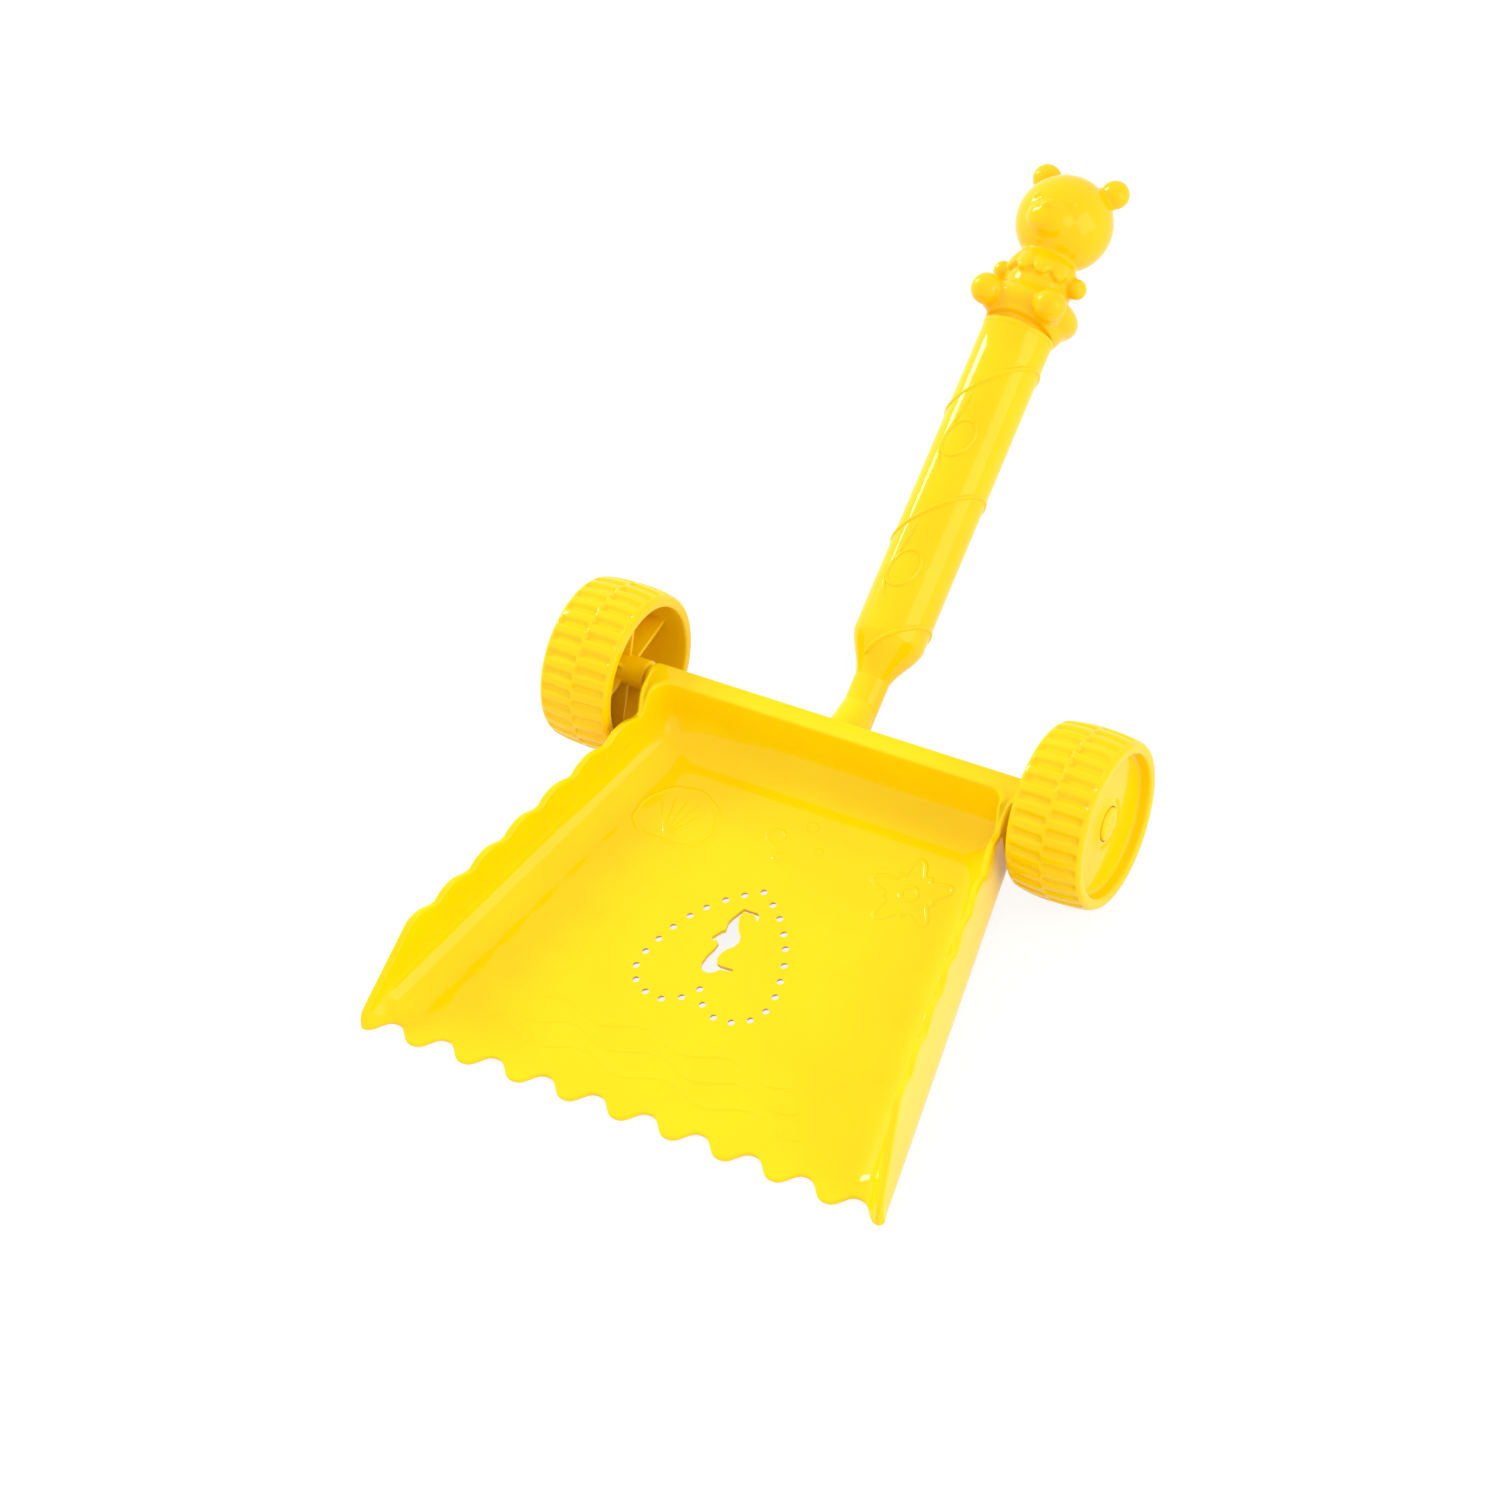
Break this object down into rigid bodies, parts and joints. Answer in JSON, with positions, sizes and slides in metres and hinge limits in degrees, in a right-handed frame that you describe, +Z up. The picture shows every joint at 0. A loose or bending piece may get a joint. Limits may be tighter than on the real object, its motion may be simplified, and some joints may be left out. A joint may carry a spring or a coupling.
{
  "type": "sand shovel",
  "caption": "Child's sand shovel: a broad scoop with a toothed front and scalloped sides on free-rolling wheels, with a tubular handle that ends in a sitting bear.",
  "frame": {"origin": "on the ground, at the middle of the shovel's width and length, standing on its wheels and front corner tips", "axes": "+Z up, +Y from the scoop's front towards the handle's end, +X towards the right wheel as seen from behind the handle"},
  "size_m": [0.2136, 0.369, 0.1425],
  "materials": {
    "yellow_plastic": "glossy moulded plastic, bright yellow",
    "wheel_plastic": "glossy moulded plastic, slightly deeper yellow",
    "steel": "plain drawn steel"
  },
  "bodies": {
    "shovel": {"scoop_pan": "yellow_plastic", "axle_rod": "steel", "left_axle_cap": "wheel_plastic", "right_axle_cap": "wheel_plastic", "handle_grip": "yellow_plastic", "grip_screw": "steel", "bear_topper": "yellow_plastic"},
    "left_wheel": {"left_wheel": "wheel_plastic"},
    "right_wheel": {"right_wheel": "wheel_plastic"}
  },
  "joints": [
    {"name": "left_wheel_spin", "type": "hinge", "parent": "shovel", "child": "left_wheel", "pos_m": [-0.09285, -0.02044, 0.0309], "axis": [1, 0, 0], "continuous": true},
    {"name": "right_wheel_spin", "type": "hinge", "parent": "shovel", "child": "right_wheel", "pos_m": [0.09285, -0.02044, 0.0309], "axis": [1, 0, 0], "continuous": true}
  ]
}
